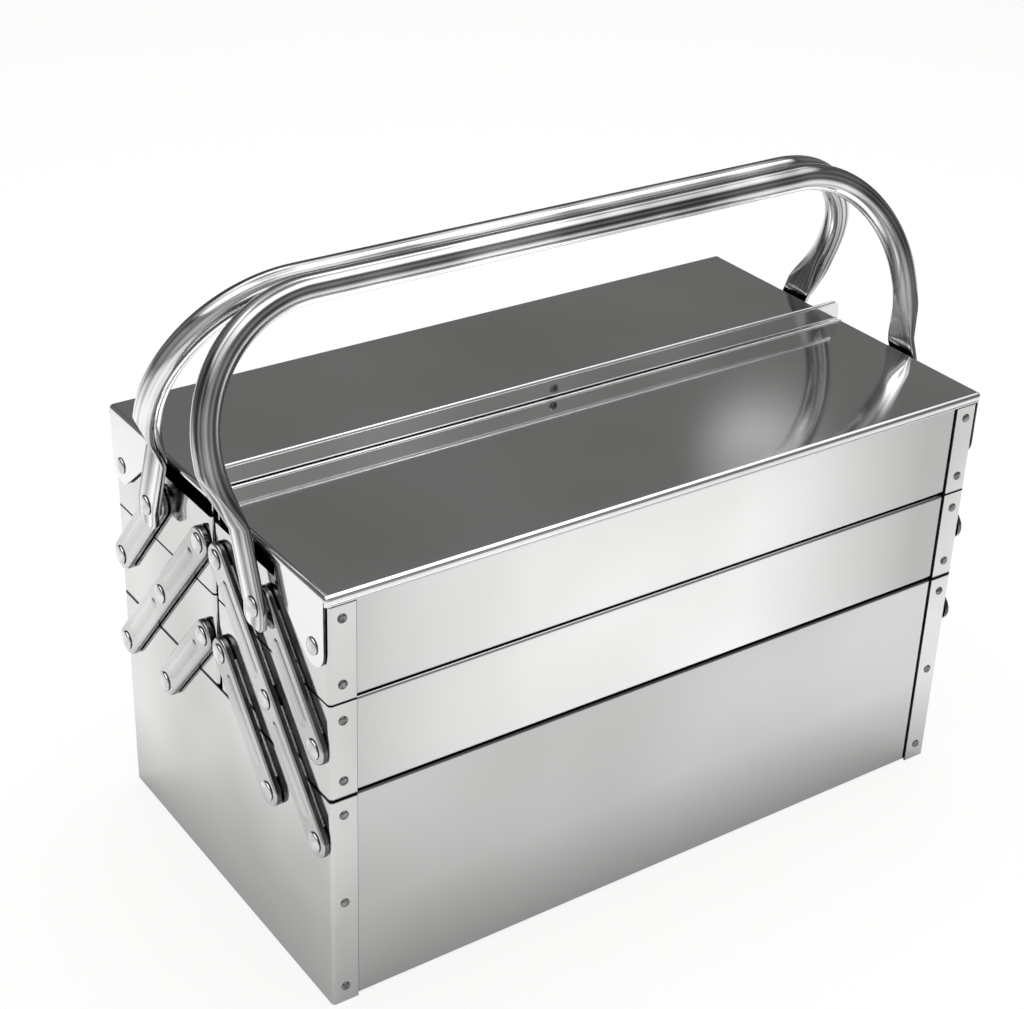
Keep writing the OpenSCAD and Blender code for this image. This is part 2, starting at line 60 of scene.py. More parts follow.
# Lids. A bead is the roll along the front lid's inner edge, and a hem the one along the upright edge.
LID_TOP = BASE_H + TRAY_PITCH + TOP_H
LID_SPLIT, LID_END, LID_OUT, LID_FOLD_R = 0.5, WALL_X + 1.7, HALF_D + 1, 2.2
FLANGE_H, END_LIP_H, INNER_LIP_H, FLANGE_ROLL_R = 4.5, 2.4, 3, 0.6
EAR_W, EAR_REACH, EAR_DIP, EAR_DROP, EAR_GAP = 18, 31, 13.4, 27.7, 0.7
UPRIGHT_H, UPRIGHT_R, UPRIGHT_FOLD_R, UPRIGHT_RIVET_Z = 11, 4, 1.2, 4.6
HEM_R, HEM_ABOVE, BEAD_R, BEAD_SINK = 1, 0.3, 1, 0.25
# How deep a lid's walls are below its ears before they are trimmed, and how far the waste goes below the
# top, past the lid's outside, in from its inner edge and in from its flange
PAN_SPARE, WASTE_DEEP, WASTE_PAST, WASTE_IN_LIP, WASTE_IN_FLANGE = 3, 60, 5, 2, 1.5

# Pivots: three places in depth and three heights
PIVOT_Y = (92.5, 50.5, 8.5)
PIVOT_Z = (88.0, 136.3, 184.6)
ARM_STEP = math.hypot(PIVOT_Y[0] - PIVOT_Y[1], TRAY_PITCH)
ARM_LEAN = math.atan2(TRAY_PITCH, PIVOT_Y[0] - PIVOT_Y[1])
EAR = (90, LID_TOP - EAR_DROP)

# Arms and rivets
ARM_W, ARM_T, ARM_DEPTH, ARM_X, ARM_EDGE_R, ARM_POINTS = 15, 1.2, 3, WALL_X + 0.8, 1.5, 64
RIB_W, RIB_H, RIB_START, RIB_START_HANDLE, RIB_SINK = 6.5, 1, 9.5, 15, 0.2
PIVOT_D, PIVOT_HEAD_D, PIVOT_HEAD_H = 5, 9.5, 1.5
EAR_HEAD_D, EAR_HEAD_H = 8, 1.3
TAIL_D, TAIL_H = 8, 1.2
CORNER_D, CORNER_HEAD_D, CORNER_HEAD_H, CORNER_INSET = 3, 4.4, 0.9, 8.5
SEAT_GAP, TAB_GAP, TAB_T = 0.1, 1.3, 3
ARM_SEAT = ARM_X + ARM_DEPTH + SEAT_GAP
TAB_X = ARM_X + ARM_DEPTH + TAB_GAP
TAB_SEAT = TAB_X + TAB_T + SEAT_GAP
EAR_SEAT = WALL_X + EAR_GAP + SHEET_T + SEAT_GAP
# Shares of a head's height and width in its upright rim and flat tip, the turns of its dome in degrees, and
# the shares of a tail's width and height at each of its rings
RIM_SHARE, TIP_SHARE, DOME_TURNS = 0.18, 0.04, (14, 28, 42, 55, 67, 78)
TAIL_RINGS = ((0.3, 1), (0.44, 0.8), (0.5, 0.35))

# Handles
TUBE_D, LEG_L, LEG_X, BEND_R, BAR_GAP = 12.7, 123, WALL_X + 14, 60, 0.5
BAR_Y = (TUBE_D + BAR_GAP) / 2
LEG_LEAN = math.asin((PIVOT_Y[1] - BAR_Y) / LEG_L)
TAB_W, TAB_ABOVE, TAB_BELOW, TAB_BLEND, TAB_R, TAB_CORNER, VALLEY = 17, 33, 10, 26, 4, 7, 1.6
# Degrees of the rings round the foot's corners, and the last ring's shares of the corner and the thickness
FOOT_TURNS, LAST_CORNER, LAST_THICK = (20, 40, 58, 72), 0.92, 0.72


# Camera, at the photograph's viewing angle


def make_camera():
    turn, rise, roll = math.radians(-35.286), math.radians(29.035), math.radians(2.066)
    back = Vector((math.sin(turn) * math.cos(rise), -math.cos(turn) * math.cos(rise), math.sin(rise)))
    level = Vector((math.cos(turn), math.sin(turn), 0))
    above = back.cross(level)
    right = level * math.cos(roll) + above * math.sin(roll)
    up = above * math.cos(roll) - level * math.sin(roll)
    bpy.ops.object.camera_add(location=Vector((-519.25, -702.49, 639.06)) * MM)
    camera = bpy.context.object
    camera.name = "camera"
    camera.rotation_euler = Matrix((right, up, back)).transposed().to_euler()
    camera.data.sensor_width = 36
    camera.data.lens = 72.30
    camera.data.clip_start = 0.01
    bpy.context.scene.camera = camera


make_camera()


# Materials

# Sockets of a colour Mix node: its share, its two colours and its result
SHARE, FROM, TO, MIXED = 0, 6, 7, 2

# Noise lies mostly between the first values, and a mix of two noises between the second
NOISE_SPAN, MIX_SPAN = (0.36, 0.64), (0.4, 0.6)
# The share of slow clouds in the marks of a drawn tube
CLOUD_SHARE = 0.35

# Painted shade: near-black lines where the gaps between levels, the lids' flange and the corner strips cast
# shade, each a place and a reach: at these heights, and beside the corner strips
GAP_SHADE = "#1c1c1b"
GAP_SHADE_LINES = (
    (BASE_H + LEVEL_GAP / 2, 1.4),
    (BASE_H + TRAY_PITCH + LEVEL_GAP / 2, 0.8),
    # A painted shadow below the lids' flange
    (LID_TOP - FLANGE_H - 0.5, 1),
)
STRIP_SHADE_LINE = (WALL_X - STRIP_W - 0.3, 0.6)

# A tray's colour goes from its bright middle to painted shade at its ends between these distances, and the
# base's painted shade at its foot fades out up to this height
SHEEN_MIDDLE, SHEEN_FADE_FROM, SHEEN_FADE_TO = -20, 60, 170
FOOT_SHADE_H = 50


def linear(code):
    """An sRGB colour such as "#c0c0c0" as the linear values that a shader takes"""
    parts = [int(code[i : i + 2], 16) / 255 for i in (1, 3, 5)]
    return (*[p / 12.92 if p <= 0.04045 else ((p + 0.055) / 1.055) ** 2.4 for p in parts], 1)


def add_node(tree, kind, inputs=None, **settings):
    """Adds a node with its settings, its values and its links"""
    node = tree.nodes.new("ShaderNode" + kind)
    for key, value in settings.items():
        setattr(node, key, value)
    for key, value in (inputs or {}).items():
        if isinstance(value, bpy.types.NodeSocket):
            tree.links.new(value, node.inputs[key])
        else:
            node.inputs[key].default_value = value
    return node


def mixed(tree, share, first, second):
    """The colour that goes from one to another by a share"""
    return add_node(tree, "Mix", {SHARE: share, FROM: first, TO: second}, data_type="RGBA").outputs[MIXED]


def ranged(tree, value, start, end, low=0, high=1, **settings):
    """What goes from low to high as a value goes from start to end, and stays there past them"""
    inputs = {"Value": value, "From Min": start, "From Max": end, "To Min": low, "To Max": high}
    return add_node(tree, "MapRange", inputs, **settings).outputs["Result"]


def math_of(tree, operation, *values):
    """The result of a Math node"""
    return add_node(tree, "Math", dict(enumerate(values)), operation=operation).outputs[0]


def distance_from(tree, value, place):
    """How far a value is from a place, either way"""
    return math_of(tree, "ABSOLUTE", math_of(tree, "SUBTRACT", value, place))


def new_material(name):
    material = bpy.data.materials.new(name)
    material.use_nodes = True
    material.node_tree.nodes.clear()
    return material, material.node_tree


def bright_metal(
    name, colours, roughness, cloud_mm, ripple_mm, marks_mm, foot="", ends="", seams=(), strips=(), die_and_reflection_mm=0
):
    """A bright metal: a light and a dark colour in slow clouds, a roughness that drifts with them, and a
    slow ripple and fine polishing marks, each given by its real length and depth. A foot colour is painted
    shade that the lowest part darkens to, and an ends colour is painted shade at both ends of the length.
    Seams and strips are painted shade: near-black lines by height and by distance from the middle. A drawn
    tube has the marks of its die along it, about that far apart, painted dark enough to stand in for
    reflected streaks as well."""
    material, tree = new_material(name)
    place = add_node(tree, "TexCoord").outputs["Object"]
    length, _, height = add_node(tree, "SeparateXYZ", {0: place}).outputs
    noise = add_node(tree, "TexNoise", {"Vector": place, "Scale": 1 / (cloud_mm * MM), "Detail": 1.5})
    cloud = ranged(tree, noise.outputs["Fac"], *NOISE_SPAN)
    # Painted reflection: the die's lines are dark enough to stand in for reflected streaks as well
    if die_and_reflection_mm:
        turn = add_node(tree, "Attribute", attribute_name="turn").outputs["Fac"]
        across, along = math_of(tree, "COSINE", turn), math_of(tree, "SINE", turn)
        around = add_node(tree, "CombineXYZ", {"X": across, "Y": along}).outputs[0]
        marks = add_node(tree, "TexNoise", {"Vector": around, "Scale": TUBE_D / 2 / die_and_reflection_mm, "Detail": 2.0})
        # The sockets 0, 2 and 3 of a Mix node of plain values are its share and its two values
        both = add_node(tree, "Mix", {0: CLOUD_SHARE, 2: marks.outputs["Fac"], 3: noise.outputs["Fac"]})
        cloud = ranged(tree, both.outputs[0], *MIX_SPAN)
    light, dark = colours
    smooth, rough = roughness
    gloss = ranged(tree, cloud, 0, 1, rough, smooth)
    colour = mixed(tree, cloud, linear(dark), linear(light))
    # Painted shade: greyer towards both ends
    if ends:
        away = distance_from(tree, length, SHEEN_MIDDLE * MM)
        colour = mixed(tree, ranged(tree, away, SHEEN_FADE_FROM * MM, SHEEN_FADE_TO * MM), colour, linear(ends))
    # Painted shade: darker towards the bottom
    if foot:
        colour = mixed(tree, ranged(tree, height, 0, FOOT_SHADE_H * MM), linear(foot), colour)
    # Painted shade: near-black lines along the gaps and beside the strip edges
    lines = [(height, *seam) for seam in seams]
    if strips:
        lines.append((math_of(tree, "ABSOLUTE", length), *strips))
    for where, middle, reach in lines:
        away = distance_from(tree, where, middle * MM)
        colour = mixed(tree, ranged(tree, away, reach * MM / 2, reach * MM), linear(GAP_SHADE), colour)
    normal = None
    for (long_mm, deep_mm), detail in ((ripple_mm, 1.0), (marks_mm, 2.0)):
        waves = add_node(tree, "TexNoise", {"Vector": place, "Scale": 1 / (long_mm * MM), "Detail": detail})
        bump = {"Height": waves.outputs["Fac"], "Strength": 1.0, "Distance": deep_mm * MM}
        if normal:
            bump["Normal"] = normal
        normal = add_node(tree, "Bump", bump).outputs["Normal"]
    shader = add_node(
        tree,
        "BsdfPrincipled",
        {"Base Color": colour, "Metallic": 1.0, "Roughness": gloss, "Normal": normal},
    )
    add_node(tree, "OutputMaterial", {"Surface": shader.outputs["BSDF"]})
    return material


# Stainless steel sheet of the base, polished to a mirror: near-white in slow clouds, with a ripple that bends
# reflections, painted shade darker towards the foot where it mirrors the floor's shadow, and near-black
# painted shade along each gap
polished_sheet = bright_metal(
    "polished stainless sheet",
    colours=("#cecece", "#bcbcbb"),
    roughness=(0.05, 0.1),
    cloud_mm=170,
    ripple_mm=(80, 0.02),
    marks_mm=(1.2, 0.0003),
    foot="#a8a8a7",
    seams=GAP_SHADE_LINES,
    strips=STRIP_SHADE_LINE,
)
# The same sheet on the trays, painted lighter than the base's copy as painted light, with painted shade
# greyer to the ends
polished_tray = bright_metal(
    "polished stainless tray",
    colours=("#fafafa", "#e2e2e1"),
    roughness=(0.05, 0.1),
    cloud_mm=170,
    ripple_mm=(80, 0.02),
    marks_mm=(1.2, 0.0003),
    ends="#b2b2b1",
    seams=GAP_SHADE_LINES,
    strips=STRIP_SHADE_LINE,
)
# The same sheet on the end panels, painted a shade greyer than the trays as painted shade, and darker towards
# the bottom
polished_end = bright_metal(
    "polished stainless end panel",
    colours=("#dcdcdb", "#c0c0be"),
    roughness=(0.05, 0.11),
    cloud_mm=120,
    ripple_mm=(70, 0.02),
    marks_mm=(1.2, 0.0003),
    foot="#b4b4b3",
    seams=GAP_SHADE_LINES,
)
# The same sheet on the lids, finished softer, so that reflections blur with distance
polished_lid = bright_metal(
    "polished stainless lid",
    colours=("#eeeeee", "#dededd"),
    roughness=(0.06, 0.09),
    cloud_mm=120,
    ripple_mm=(90, 0.01),
    marks_mm=(1.2, 0.0003),
)
# Nickel-plated pressed steel of the arms: slightly greyer and softer, with faint waves left by the press
plated_arm = bright_metal(
    "nickel-plated pressed steel",
    colours=("#cacac9", "#b0b0af"),
    roughness=(0.07, 0.12),
    cloud_mm=90,
    ripple_mm=(30, 0.02),
    marks_mm=(0.9, 0.0008),
)
# Stainless steel tube, drawn and polished: bright and crisp, with darker lines along it, from the drawing and
# painted dark enough to stand in for reflected streaks as well. The real lines are finer, and these are as
# coarse as they need to be to show.
polished_tube = bright_metal(
    "drawn stainless tube",
    colours=("#eeeeee", "#5e5f5f"),
    roughness=(0.11, 0.2),
    cloud_mm=40,
    ripple_mm=(16, 0.03),
    marks_mm=(1.0, 0.0005),
    die_and_reflection_mm=1.984,
)
# The same plated steel with painted shade on the arms' sides and the rims of rivet heads: dark and softer
plated_side_shade = bright_metal(
    "plated steel, painted shade on sides",
    colours=("#7a7a79", "#4c4c4b"),
    roughness=(0.14, 0.24),
    cloud_mm=12,
    ripple_mm=(5, 0.02),
    marks_mm=(0.5, 0.002),
)
# Nickel-plated steel rivets, set by hammering: bright heads with a faintly uneven face
plated_rivet = bright_metal(
    "nickel-plated rivet steel",
    colours=("#dededd", "#c2c2c1"),
    roughness=(0.1, 0.18),
    cloud_mm=5,
    ripple_mm=(3, 0.02),
    marks_mm=(0.6, 0.002),
)
# Plain steel of the small corner rivets: darker and duller than the sheet, worn brighter in spots
plain_rivet = bright_metal(
    "plain rivet steel",
    colours=("#8f8f8e", "#585857"),
    roughness=(0.22, 0.34),
    cloud_mm=2,
    ripple_mm=(1.5, 0.02),
    marks_mm=(0.4, 0.004),
)
# Sheared steel on cut edges of the sheet: dull, because the shears leave it torn, and painted dark as painted
# shade along the strips' free edges and the lids' trimmed edges
sheared_shaded_edge = bright_metal(
    "sheared steel edge, painted shade",
    colours=("#5c5c5b", "#3c3c3b"),
    roughness=(0.4, 0.55),
    cloud_mm=6,
    ripple_mm=(1.0, 0.02),
    marks_mm=(0.3, 0.01),
)
# Zinc-plated steel spacers: dull and slightly blue
zinc_spacer = bright_metal(
    "zinc-plated spacer steel",
    colours=("#b0b4b8", "#9ba0a4"),
    roughness=(0.3, 0.42),
    cloud_mm=6,
    ripple_mm=(4, 0.01),
    marks_mm=(0.5, 0.002),
)


# Ways of working


def deselect():
    bpy.ops.object.select_all(action="DESELECT")


def take(piece):
    """Selects one piece alone"""
    deselect()
    bpy.context.view_layer.objects.active = piece
    piece.select_set(True)


def settle(name):
    """Names the piece just added and puts its place into its mesh"""
    piece = bpy.context.object
    piece.name = piece.data.name = name
    bpy.ops.object.transform_apply(location=True, rotation=True, scale=True)
    return piece


def edit(piece, kind="VERT"):
    take(piece)
    bpy.ops.object.mode_set(mode="EDIT")
    bpy.ops.mesh.select_mode(type=kind)


def leave():
    bpy.ops.object.mode_set(mode="OBJECT")


def choose(kind, test):
    """In edit mode, selects the vertices, edges or faces whose middle, in millimetres, passes a test"""
    bpy.ops.mesh.select_all(action="DESELECT")
    bpy.ops.mesh.select_mode(type=kind)
    mesh = bmesh.from_edit_mesh(bpy.context.object.data)
    for item in {"VERT": mesh.verts, "EDGE": mesh.edges, "FACE": mesh.faces}[kind]:
        points = [item.co] if kind == "VERT" else [v.co for v in item.verts]
        middle = sum(points, Vector()) / len(points) / MM
        if test(middle):
            item.select = True
    mesh.select_flush_mode()
    bmesh.update_edit_mesh(bpy.context.object.data)


def chosen_points():
    """In edit mode, the selected vertices"""
    return [v for v in bmesh.from_edit_mesh(bpy.context.object.data).verts if v.select]


def extrude(x=0, y=0, z=0):
    bpy.ops.mesh.extrude_region_move(TRANSFORM_OT_translate={"value": (x * MM, y * MM, z * MM)})


def shift_x(test, x):
    """In edit mode, moves the vertices that pass a test along X"""
    choose("VERT", test)
    bpy.ops.transform.translate(value=(x * MM, 0, 0))


def modify(piece, kind, **settings):
    """Adds a modifier and applies it"""
    take(piece)
    modifier = piece.modifiers.new(kind.lower(), kind)
    for key, value in settings.items():
        setattr(modifier, key, value)
    bpy.ops.object.modifier_apply(modifier=modifier.name)


def shade(piece):
    """Smooth over curves, and true over flats"""
    take(piece)
    bpy.ops.object.shade_smooth_by_angle(angle=math.radians(SMOOTH_TURN))
    modify(piece, "WEIGHTED_NORMAL", keep_sharp=True)


def outward(piece):
    """Merges doubled points and turns every face outwards"""
    edit(piece)
    bpy.ops.mesh.select_all(action="SELECT")
    bpy.ops.mesh.remove_doubles(threshold=MERGE * MM)
    bpy.ops.mesh.normals_make_consistent(inside=False)
    leave()


def placed(piece, name, matrix):
    """A copy of a piece, with its own mesh, moved by a matrix"""
    copy = piece.copy()
    copy.data = piece.data.copy()
    copy.name = copy.data.name = name
    bpy.context.collection.objects.link(copy)
    copy.data.transform(matrix)
    if matrix.determinant() < 0:
        copy.data.flip_normals()
    return copy


def joined(pieces, name):
    deselect()
    for piece in pieces:
        piece.select_set(True)
    bpy.context.view_layer.objects.active = pieces[0]
    bpy.ops.object.join()
    pieces[0].name = pieces[0].data.name = name
    return pieces[0]


def drop(*pieces):
    for piece in pieces:
        bpy.data.objects.remove(piece)


def mirrored(side=1, end=1):
    """From the rear half and the right end, where pieces are modelled, to another side and end"""
    return Matrix.Diagonal((end, side, 1, 1))


def at(x, y, z):
    return Matrix.Translation(Vector((x, y, z)) * MM)


def quarter(axis, turns=1):
    return Matrix.Rotation(math.radians(90 * turns), 4, axis)


def dress(piece, node, body, material, cut=None, edge=sheared_shaded_edge):
    """Shades a piece, gives it its material and its body, and hides the solid that it stands for. Faces whose
    middle, in millimetres, and normal pass the cut test get the edge's material."""
    shade(piece)
    piece.data.materials.clear()
    piece.data.materials.append(material)
    if cut:
        piece.data.materials.append(edge)
        for face in piece.data.polygons:
            if cut(face.center / MM, face.normal):
                face.material_index = 1
    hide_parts(node)
    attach(piece, body)


# Sheet pieces: merged copies of their solids, smooth over the folds


def strip_edge(middle, normal):
    """The free edges of the strips that end panels fold round the corners"""
    # Painted shade: these edges take the dark sheared edge material
    faces_end = abs(normal.x) > 0.9
    return faces_end and abs(abs(middle.x) - WALL_X + STRIP_W) < 5 * NEAR


def from_solid(node, name, body, material):
    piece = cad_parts[node].copy()
    piece.data = piece.data.copy()
    piece.parent = None
    piece.matrix_world = Matrix.Identity(4)
    piece.name = piece.data.name = name
    bpy.context.collection.objects.link(piece)
    take(piece)
    if piece.data.has_custom_normals:
        bpy.ops.mesh.customdata_custom_splitnormals_clear()
    outward(piece)
    dress(piece, node, body, material, strip_edge)


def make_sheets():
    """The base, the folded trays and the end panels"""
    from_solid("base_body", "folded_base_body", "base", polished_sheet)
    for end in ENDS:
        from_solid("base_end_" + end, "folded_base_end_" + end, "base", polished_end)
    for half in SIDES:
        for level in ("middle", "top"):
            body = f"{half}_{level}"
            from_solid(body + "_tray", f"folded_{body}_tray", body, polished_tray)
            for end in ENDS:
                node = f"{body}_end_{end}"
                from_solid(node, "folded_" + node, body, polished_end)


# Lids: a pan folded from one sheet, with its lips and ears trimmed


def ear_round():
    """The ear's outline from the end of its slanting inner edge, round below its rivet, to its side"""
    reach = math.hypot(EAR_REACH, EAR_DROP - EAR_DIP)
    first = math.atan2(EAR_DROP - EAR_DIP, -EAR_REACH) + math.acos(EAR_W / 2 / reach)
    steps = 24
    for i in range(steps + 1):
        turn = first + (2 * math.pi - first) * i / steps
        yield EAR[0] + EAR_W / 2 * math.cos(turn), EAR[1] + EAR_W / 2 * math.sin(turn)


def make_waste(from_y, inner_lip):
    """The waste below a lid's lips and round its ears, as a prism along the whole lid"""
    low, lip = LID_TOP - WASTE_DEEP, LID_TOP - END_LIP_H
    outline = [
        (from_y - WASTE_PAST, low),
        (from_y - WASTE_PAST, LID_TOP - inner_lip),
        (from_y + WASTE_IN_LIP, LID_TOP - inner_lip),
        (from_y + WASTE_IN_LIP, lip),
        (EAR[0] - EAR_REACH, lip),
        (EAR[0] - EAR_REACH, LID_TOP - EAR_DIP),
        *ear_round(),
        (EAR[0] + EAR_W / 2, lip),
        (LID_OUT - WASTE_IN_FLANGE, lip),
        (LID_OUT - WASTE_IN_FLANGE, LID_TOP - FLANGE_H),
        (LID_OUT + WASTE_PAST, LID_TOP - FLANGE_H),
        (LID_OUT + WASTE_PAST, low),
    ]
    if inner_lip == END_LIP_H:
        del outline[2:4]
    deselect()
    bpy.ops.mesh.primitive_circle_add(vertices=len(outline), radius=0.1, fill_type="NGON")
    waste = settle("waste")
    for point, (y, z) in zip(waste.data.vertices, outline):
        point.co = Vector((-LID_END - WASTE_PAST, y, z)) * MM
    edit(waste, "FACE")
    bpy.ops.mesh.select_all(action="SELECT")
    extrude(x=2 * (LID_END + WASTE_PAST))
    leave()
    outward(waste)
    return waste


def make_pan(name, from_y):
    """A lid's top with walls folded down on all sides, deeper than any lip or ear, as a skin without
    thickness. It is left in edit mode, and comes with the height just above its open side."""
    depth = EAR_DROP + EAR_W / 2 + PAN_SPARE
    deselect()
    bpy.ops.mesh.primitive_cube_add(
        size=MM,
        location=Vector((0, (from_y + LID_OUT) / 2, LID_TOP - depth / 2)) * MM,
        scale=(2 * LID_END, LID_OUT - from_y, depth),
    )
    lid = settle(name)
    edit(lid, "FACE")
    low = LID_TOP - depth + NEAR
    choose("FACE", lambda p: p.z < low)
    bpy.ops.mesh.delete(type="FACE")
    return lid, low


def fold(test, radius, segments):
    """In edit mode, rounds the edges that pass a test"""
    choose("EDGE", test)
    bpy.ops.mesh.bevel(offset=radius * MM, segments=segments, affect="EDGES")


def make_roll(half_l, radius, y, z):
    """The roll that an edge is turned into so that it isn't sharp, along X, with round ends"""
    deselect()
    bpy.ops.mesh.primitive_uv_sphere_add(
        segments=16,
        ring_count=9,
        radius=radius * MM,
        location=Vector((0, y, z)) * MM,
        rotation=(0, math.radians(90), 0),
    )
    roll = settle("roll")
    edit(roll)
    shift_x(lambda p: p.x > 0, half_l - radius)
    shift_x(lambda p: p.x < 0, radius - half_l)
    leave()
    return roll


def flange_roll():
    """The roll along the foot of a lid's flange"""
    y, z = LID_OUT - FLANGE_ROLL_R / 2, LID_TOP - FLANGE_H + FLANGE_ROLL_R
    return make_roll(LID_END - LID_FOLD_R, FLANGE_ROLL_R, y, z)


def finish_lid(lid, from_y, inner_lip):
    outward(lid)
    modify(lid, "SOLIDIFY", thickness=SHEET_T * MM, offset=-1, use_even_offset=True)
    waste = make_waste(from_y, inner_lip)
    modify(lid, "BOOLEAN", operation="DIFFERENCE", object=waste, solver="EXACT")
    drop(waste)
    outward(lid)


def make_front_lid():
    """Modelled at the rear and mirrored to the front: every edge of the top is folded down"""
    lid, low = make_pan("folded_front_lid", 0)
    fold(lambda p: p.z > low, LID_FOLD_R, segments=5)
    leave()
    finish_lid(lid, 0, INNER_LIP_H)
    bead = make_roll(LID_END - BEAD_R, BEAD_R, BEAD_R, LID_TOP - BEAD_SINK)
    lid = joined([lid, flange_roll(), bead], "folded_front_lid")
    lid.data.transform(mirrored(-1))
    lid.data.flip_normals()
    return lid


def make_rear_lid():
    """Its inner edge is folded up, and its top is rolled"""
    edge_y, top = LID_SPLIT + SHEET_T, LID_TOP + UPRIGHT_H - HEM_ABOVE
    lid, low = make_pan("folded_rear_lid", edge_y)
    choose("FACE", lambda p: p.y < edge_y + NEAR)
    bpy.ops.mesh.delete(type="FACE")
    fold(lambda p: p.y > edge_y + NEAR and p.z > low, LID_FOLD_R, segments=5)
    choose("EDGE", lambda p: p.y < edge_y + NEAR and abs(p.x) < NEAR and p.z > LID_TOP - NEAR)
    extrude(z=top - LID_TOP)
    fold(
        lambda p: p.y < edge_y + NEAR and abs(p.x) < NEAR and abs(p.z - LID_TOP) < NEAR,
        UPRIGHT_FOLD_R,
        segments=4,
    )
    choose("VERT", lambda p: p.z > top - NEAR)
    bpy.ops.mesh.bevel(offset=UPRIGHT_R * MM, segments=6, affect="VERTICES")
    leave()
    finish_lid(lid, edge_y, END_LIP_H)
    hem = make_roll(
        LID_END - UPRIGHT_R - HEM_R, HEM_R, LID_SPLIT + SHEET_T / 2, LID_TOP + UPRIGHT_H - HEM_R
    )
    return joined([lid, flange_roll(), hem], "folded_rear_lid")


def lid_edge(middle, normal):
    """The trimmed edges of a lid's lips and ears"""
    # Painted shade: these edges take the dark sheared edge material
    faces_end, faces_down = abs(normal.x) > 0.1, normal.z < -0.3
    below_lip = middle.z < LID_TOP - END_LIP_H + 0.1
    on_ear = abs(middle.x) > WALL_X + EAR_GAP - 0.1
    return below_lip and not faces_end and (faces_down or on_ear)


def make_lids():
    for half, make_lid in (("front", make_front_lid), ("rear", make_rear_lid)):
        dress(make_lid(), half + "_lid", half + "_lid", polished_lid, lid_edge)


# Turned pieces


def turned(name, rings):
    """A closed round piece along Z, drawn up from its first ring: each ring is a radius and a height"""
    radius, height = rings[0]
    deselect()
    bpy.ops.mesh.primitive_circle_add(
        vertices=32, radius=radius * MM, location=(0, 0, height * MM), fill_type="NGON"
    )
    piece = settle(name)
    edit(piece, "FACE")
    bpy.ops.mesh.select_all(action="SELECT")
    for next_radius, next_height in rings[1:]:
        extrude(z=next_height - height)
        share = next_radius / radius
        bpy.ops.transform.resize(value=(share, share, 1), center_override=(0, 0, next_height * MM))
        radius, height = next_radius, next_height
    leave()
    outward(piece)
    return piece


def head_rings(head_d, head_h, seat):
    """A rivet's domed head with a short upright rim"""
    rim = RIM_SHARE * head_h
    rings = [(head_d / 2, seat), (head_d / 2, seat + rim)]
    for turn in DOME_TURNS:
        share = math.radians(turn)
        rings.append((head_d / 2 * math.cos(share), seat + rim + (head_h - rim) * math.sin(share)))
    rings.append((TIP_SHARE * head_d, seat + head_h))
    return rings


def rivet(name, shank_d, tail_d, tail_h, seat, head_d, head_h):
    """A rivet along Z from the head that closes it, below zero, to its made head above the seat"""
    rings = [(tail_d * wide, -tail_h * deep) for wide, deep in TAIL_RINGS]
    rings += [(tail_d / 2, 0), (shank_d / 2, 0), (shank_d / 2, seat)]
    return turned(name, rings + head_rings(head_d, head_h, seat))


# Turns a piece drawn along Z to run along X at an end panel, or along Y at an outer wall
ALONG_X, ALONG_Y = quarter("Y"), quarter("X", -1)


def side_on(middle, normal):
    """The sides of a piece that lies flat against an end panel, and not its face or its rounded edges"""
    return abs(normal.x) < 0.4


def rivet_set(node, body, rows, material=plated_rivet):
    """One piece of rivets: each row is a modelled rivet and the matrices of its places"""
    copies = [placed(source, node + "_part", matrix) for source, places in rows for matrix in places]
    # Painted shade: the rims of plated rivet heads take the dark side material
    cut = side_on if material == plated_rivet else None
    dress(joined(copies, "set_" + node), node, body, material, cut, plated_side_shade)


def end_places(side, pivots):
    """Places of pivot rivets on one half, at both ends"""
    return [mirrored(side, end) @ at(INSIDE_X, y, z) @ ALONG_X for end in ENDS.values() for y, z in pivots]


def corner_places(side, heights):
    """Places of corner rivets on one half's long wall, at both ends. They go through two sheets."""
    seat = ALONG_Y @ at(0, 0, -2 * SHEET_T)
    return [mirrored(side, end) @ at(CORNER_X, HALF_D, z) @ seat for end in ENDS.values() for z in heights]


